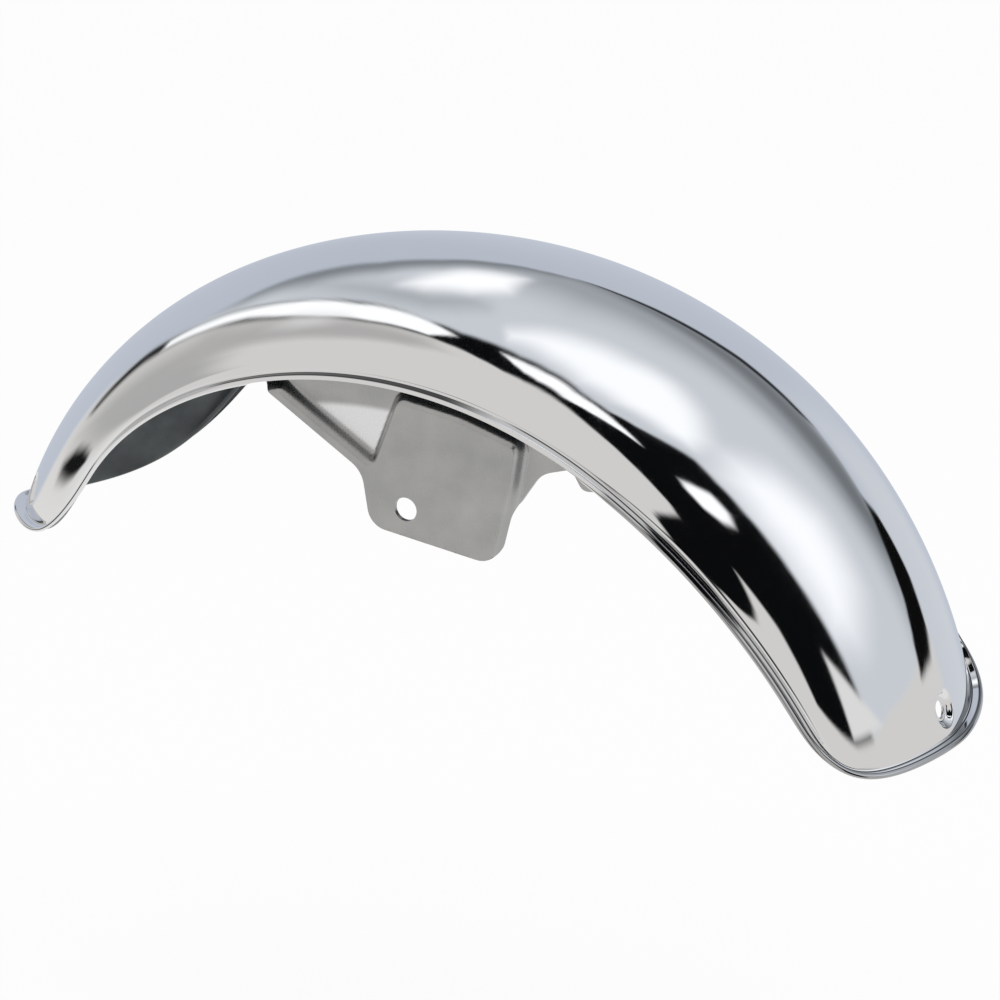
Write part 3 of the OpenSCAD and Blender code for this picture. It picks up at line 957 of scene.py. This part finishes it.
WALLS = "#CDCBC8"
FLOOR_GLOW = "#DCDBD9"
PANELS: tuple[Panel, ...] = (
    Panel("shaded_wall", "#A9A8A6", 8.0, ((240, -8), (240, 24), (262, 32), (300, 26), (300, -8))),
    Panel("crease_shade", "#ACAAA8", 6.0, (
        (240, 20), (240, 66), (246, 70), (253, 66), (255, 52), (254, 38), (253, 20))),
    Panel("long_flag", "#0A0B0C", 1.4, (
        (-6, 0), (0, 7.5), (8, 9.5), (12, 12), (16, 17), (20, 23), (25, 31), (30, 37), (40, 44), (50, 48), (60, 50.5),
        (70, 52), (74, 55), (77, 62), (80, 68), (85, 74), (90, 77.5), (100, 80.5), (110, 82), (120, 83.5), (150, 85),
        (180, 85), (200, 84.5), (215, 83), (225, 81.5), (232, 76), (236, 69), (238.3, 62), (240.2, 52), (241.2, 44),
        (241, 36), (239.5, 28), (238, 20), (237.5, 14), (237, 5), (238, -5), (236.5, -6), (234, 2),
        (230, 10), (225, 40), (200, 60), (150, 60), (120, 40), (110, 20), (107, 1), (98, 1), (90, 3), (82, 5.5),
        (77, 7.5), (78, 10), (81, 17), (83, 25), (82, 32), (81, 38), (80, 36.5), (75, 31.5), (70, 27.5), (60, 22),
        (50, 18.5), (40, 15), (30, 12), (24, 8), (18, 6), (10, 3), (0, 2))),
    Panel("flag_foot", "#141414", 4.0, ((10, 7), (9, -5), (10, -22), (27, -22), (24, -8), (21, 0), (23, 9))),
    Panel("flag_tail", "#3A3A3A", 1.6, (
        (-26, -20), (-20, -12), (-13, -4), (-8, 1), (-3, 4), (-4, 1), (-10, -5), (-17, -13), (-23, -20))),
    Panel("ceiling", "#C5C9CE", 1.0, (
        (108, 1), (107.3, 10), (107.3, 20), (108, 30), (109.5, 38), (111.5, 45), (114.5, 51.5), (119, 56.5),
        (120.5, 62), (124, 68), (130, 72.8), (140, 75), (150, 76), (180, 75.8), (200, 74), (210, 71.5), (217, 69),
        (224, 65.5), (229, 59), (232, 48), (234.4, 36), (235, 25), (235, 14), (234, 5), (235, -6), (232, -30),
        (170, -30), (168, 4), (150, 3.5), (130, 4), (115, 3.2), (108, 1))),
    Panel("ceiling_shade", "#9A9EA3", 9.0, (
        (137, 8), (140, 22), (146, 33), (155, 41), (170, 49), (190, 53), (203, 50), (206, 40), (196, 32), (188, 20),
        (183, 10), (168, 5), (150, 5)), "ceiling"),
    Panel("ceiling_corner", "#6E7276", 10.0, (
        (149, 2), (152, 18), (160, 24), (174, 27), (186, 33), (193, 33), (186, 14), (174, 6), (160, 0)), "ceiling"),
    Panel("ceiling_edge", "#A2A6AA", 5.0, (
        (212, 58), (220, 57), (226, 54.5), (229.5, 48), (231, 38), (230.5, 30), (227, 42), (222, 51), (214, 55)),
        "ceiling"),
    Panel("window_left", "#FBFCFE", 8.0, (
        (109, 20), (110, 30), (113, 42), (119, 50), (126, 50), (129, 42), (128, 32), (122, 22), (114, 17)), "ceiling"),
    Panel("window_top", "#FBFCFD", 4.0, (
        (124, 57), (127, 62), (140, 70), (160, 73.5), (185, 72), (198, 69.5), (206, 68.5), (206, 66), (198, 65.5),
        (180, 64), (165, 62), (152, 57.5), (140, 55.5), (130, 55)), "ceiling"),
    Panel("spot", "#FFFFFF", 3.2, ((203, 46), (206, 53), (214, 52.5), (222, 48), (224, 44.5), (214, 43.5)), "ceiling"),
    Panel("hill_shade", "#7C8085", 3.0, (
        (178, 6), (184, 14), (188, 24), (192, 33), (198, 39.5), (207, 42), (216, 41), (224, 37), (230, 29),
        (233, 20), (233, 0), (190, 0)), "ceiling"),
    Panel("far_wall", "#B3B9C3", 1.2, (
        (166, 6.5), (175, 8), (182, 12), (187, 20), (190, 27), (195, 34), (200, 37), (207, 38), (215, 37), (222, 33),
        (228, 24), (232, 18), (234, 13), (234, -30), (150, -30), (160, -6))),
    Panel("far_wall_left", "#C3C7CD", 6.0, ((165, 4), (180, 7), (186, -6), (182, -25), (150, -25), (156, -5))),
    Panel("far_edge", "#26282B", 0.9, (
        (176, 8.5), (183, 12), (188, 20), (191, 27), (195, 33.5), (190, 29.5), (186, 22.5), (181.5, 15), (176, 11))),
    Panel("strip_light", "#FFFFFF", 0.8, (
        (109, 67), (115, 73.5), (120, 77), (130, 80), (140, 81.4), (180, 81.6), (198, 80), (206, 77.5), (212, 73.6),
        (205, 75), (195, 76.3), (180, 77.3), (150, 77.3), (140, 76.4), (130, 74.5), (120, 71.8))),
    Panel("strip_light_end", "#FFFFFF", 0.8, (
        (227, 66.5), (236, 64), (239, 52), (240.2, 42), (239.5, 33), (238, 26.5), (237.4, 16), (236.8, 8.5),
        (235.2, 8.5), (235.2, 16), (235.4, 25), (235, 33), (233.6, 45), (229.5, 58))),
    Panel("pale_strip", "#CFCECC", 5.0, ((240, 45), (244, 45), (245.5, 41), (244, 37.5), (240.6, 37.5))),
    Panel("lens", "#FFFFFF", 1.2, (
        (98, 52), (100, 56.5), (102.6, 58), (105, 56), (107.8, 52), (106, 47.5), (103, 45.5), (100, 47.5))),
    Panel("corner", "#D8D7D5", 0.8, ((101, 18.5), (97.5, 2), (112, 2), (107.5, 8))),
    Panel("rear_flag", "#0C0C0C", 0.8, (
        (130.5, 2), (134, 6), (139, 8), (150, 9), (160, 8), (167, 7), (168.5, 4), (165, -1), (158, -3), (148, -1.5),
        (138, 1))),
    Panel("front_flag", "#161616", 2.2, (
        (240, -13), (246, -9), (256, -8), (268, -11), (274, -16), (264, -17), (250, -16), (242, -15))),
)


def seen_directly(tree: bpy.types.NodeTree) -> bpy.types.Node:
    """Node whose Value is 1 for rays from the camera and for those that mirrors and clear things send on."""
    path = add(tree, "ShaderNodeLightPath")
    seen = add(tree, "ShaderNodeMath", {"operation": "MAXIMUM"},
               {0: (path, "Is Camera Ray"), 1: (path, "Is Glossy Ray")})
    return add(tree, "ShaderNodeMath", {"operation": "MAXIMUM"},
               {0: (seen, "Value"), 1: (path, "Is Transmission Ray")})


@dataclass
class Studio:
    """Camera, floor, lamps and the surroundings that the chrome mirrors."""

    camera_at: tuple[float, float, float] = (1.17886, -2.31167, 1.12884)
    right: tuple[float, float, float] = (0.8905504, 0.45469572, 0.01310725)
    up: tuple[float, float, float] = (-0.17646238, 0.31876782, 0.93126156)
    lens_mm: float = 242.957
    floor_z: float = -0.3
    floor_r: float = 7.0
    floor_glow: float = 0.93
    mirror_level: float = 1.24
    matt_level: float = 0.75
    radius: float = 10.0

    def camera(self) -> bpy.types.Object:
        """Camera at the photograph's place, turned by its own right and up directions."""
        data = bpy.data.cameras.new("camera")
        data.sensor_width, data.lens = 36.0, self.lens_mm
        data.clip_start, data.clip_end = 0.05, 60.0
        obj = put_in_scene("camera", data)
        right, up = Vector(self.right).normalized(), Vector(self.up).normalized()
        back = right.cross(up)
        turn = Matrix((right, up, back)).transposed().to_4x4()
        obj.matrix_world = Matrix.Translation(Vector(self.camera_at) + Vector(AXLE * MM)) @ turn
        bpy.context.scene.camera = obj
        return obj

    def surround_colour(self, az: Array, el: Array) -> Array:
        """Linear colour of the surroundings in each direction: each panel is laid over those before it.

        A panel's cover is a smooth step of the distance to its outline, in degrees.
        """
        here = np.stack([az, el], -1)
        down = smooth((-8 - el) / 25.0)[:, None]
        colour = np.array(linear(WALLS)[:3]) * (1 - down) + np.array(linear(FLOOR_GLOW)[:3]) * down
        covers = {"": 1.0}
        for panel in PANELS:
            cover = smooth(polygon_distance(here, np.array(panel.outline, float)) / (2 * panel.soft) + 0.5)[:, None]
            cover = covers[panel.name] = cover * covers[panel.within]
            colour = colour * (1 - cover) + np.array(linear(panel.colour)[:3]) * cover
        return colour

    def surroundings(self) -> bpy.types.Object:
        """A large sphere that only mirrors see, with the panels' colours at its points."""
        az = np.linspace(-60, 300, 481)
        el = np.concatenate([np.linspace(-90, -30, 16)[:-1], np.linspace(-30, 90, 161)])
        grid_az, grid_el = np.meshgrid(az[:-1], el)
        a, e = np.radians(grid_az), np.radians(grid_el)
        points = self.radius * np.stack([np.cos(e) * np.sin(a), -np.cos(e) * np.cos(a), np.sin(e)], -1)
        n, m = grid_az.shape
        number = np.arange(n * m).reshape(n, m)
        wrap = np.roll(number, -1, axis=1)
        cells = np.stack([number[:-1], number[1:], wrap[1:], wrap[:-1]], -1).reshape(-1, 4)
        mesh = bpy.data.meshes.new("studio_surroundings")
        mesh.from_pydata(points.reshape(-1, 3).tolist(), [], cells.tolist())
        colour = np.ones((n * m, 4), np.float32)
        colour[:, :3] = self.surround_colour(grid_az.ravel(), grid_el.ravel())
        layer = mesh.color_attributes.new("studio", "FLOAT_COLOR", "POINT")
        layer.data.foreach_set("color", colour.ravel())
        mat, tree = blank_material("studio_walls_and_panels")
        paint = add(tree, "ShaderNodeAttribute", {"attribute_name": "studio"})
        glow = add(tree, "ShaderNodeEmission", {"Strength": self.mirror_level}, {"Color": (paint, "Color")})
        add(tree, "ShaderNodeOutputMaterial", None, {"Surface": (glow, "Emission")})
        mat.cycles.emission_sampling = "NONE"
        mesh.materials.append(mat)
        obj = put_in_scene("studio_surroundings", mesh)
        obj.visible_camera = obj.visible_diffuse = obj.visible_shadow = obj.visible_transmission = False
        obj.visible_volume_scatter = False
        return obj

    def floor(self) -> bpy.types.Object:
        """A wide pale floor whose own light keeps it near white, with the mudguard's soft shadow on it."""
        turn = np.linspace(0, 2 * np.pi, 96, endpoint=False)
        rim = self.floor_r * np.stack([np.cos(turn), np.sin(turn), 0 * turn], -1) + [0, 0, self.floor_z]
        mesh = bpy.data.meshes.new("studio_floor")
        mesh.from_pydata(rim.tolist(), [], [list(range(len(turn)))])
        mat, tree = blank_material("pale_floor")
        matt = add(tree, "ShaderNodeBsdfDiffuse", {"Color": linear("#F4F4F3")})
        glow = add(tree, "ShaderNodeEmission", {"Color": linear("#FFFFFF"), "Strength": 1.0})
        share = add(tree, "ShaderNodeMath", {"operation": "MULTIPLY", 1: self.floor_glow},
                    {0: (seen_directly(tree), "Value")})
        both = add(tree, "ShaderNodeMixShader", None,
                   {"Fac": (share, "Value"), 1: (matt, "BSDF"), 2: (glow, "Emission")})
        add(tree, "ShaderNodeOutputMaterial", None, {"Surface": (both, "Shader")})
        mat.cycles.emission_sampling = "NONE"
        mesh.materials.append(mat)
        obj = put_in_scene("studio_floor", mesh)
        obj.visible_glossy = False
        return obj

    def world(self) -> None:
        """Even white surroundings for the camera and a plain level of light for matt things."""
        world = bpy.data.worlds.new("studio")
        bpy.context.scene.world = world
        world.use_nodes = True
        tree = world.node_tree
        tree.nodes.clear()
        plain = add(tree, "ShaderNodeBackground", {"Color": linear("#F2F2F2"), "Strength": self.matt_level})
        white = add(tree, "ShaderNodeBackground", {"Color": linear("#FFFFFF"), "Strength": 1.0})
        both = add(tree, "ShaderNodeMixShader", None, {
            "Fac": (seen_directly(tree), "Value"), 1: (plain, "Background"), 2: (white, "Background")})
        add(tree, "ShaderNodeOutputWorld", None, {"Surface": (both, "Shader")})

    def lamp(self) -> bpy.types.Object:
        """One large soft lamp overhead for the shadow, which mirrors don't see."""
        data = bpy.data.lights.new("overhead", "AREA")
        data.shape, data.size, data.energy = "DISK", 1.8, 16.0
        obj = put_in_scene("overhead", data)
        obj.matrix_world = Matrix.Translation((0.3, -0.4, 2.0))
        obj.visible_glossy = False
        return obj

    def build(self) -> None:
        """Sets up the whole studio and the plain colour view."""
        self.camera()
        self.surroundings()
        self.floor()
        self.world()
        self.lamp()
        bpy.context.scene.view_settings.view_transform = "Standard"


def dress(obj: bpy.types.Object, nodes: Sequence[str]) -> None:
    """Puts a piece in place of its CAD nodes, on the one body.

    Args:
        obj: the finished piece.
        nodes: CAD nodes it stands for.
    """
    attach(obj, "root")
    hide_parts(*nodes)
    LOG.info("%s: %d faces, %d materials", obj.name, len(obj.data.polygons), len(obj.data.materials))


def main() -> None:
    """Builds the mudguard and its studio."""
    logging.basicConfig(level=logging.INFO, format="%(message)s")
    dome = Dome()
    shell = ShellPressing(dome).build(ChromePlate().material(), DullPlate().material())
    dress(shell, ["shell"])
    bracket = ForkBracket(dome).build(SatinSteel().material())
    dress(bracket, BRACKET_NODES)
    Studio().build()
    bpy.context.view_layer.update()


if __name__ == "__main__":
    main()
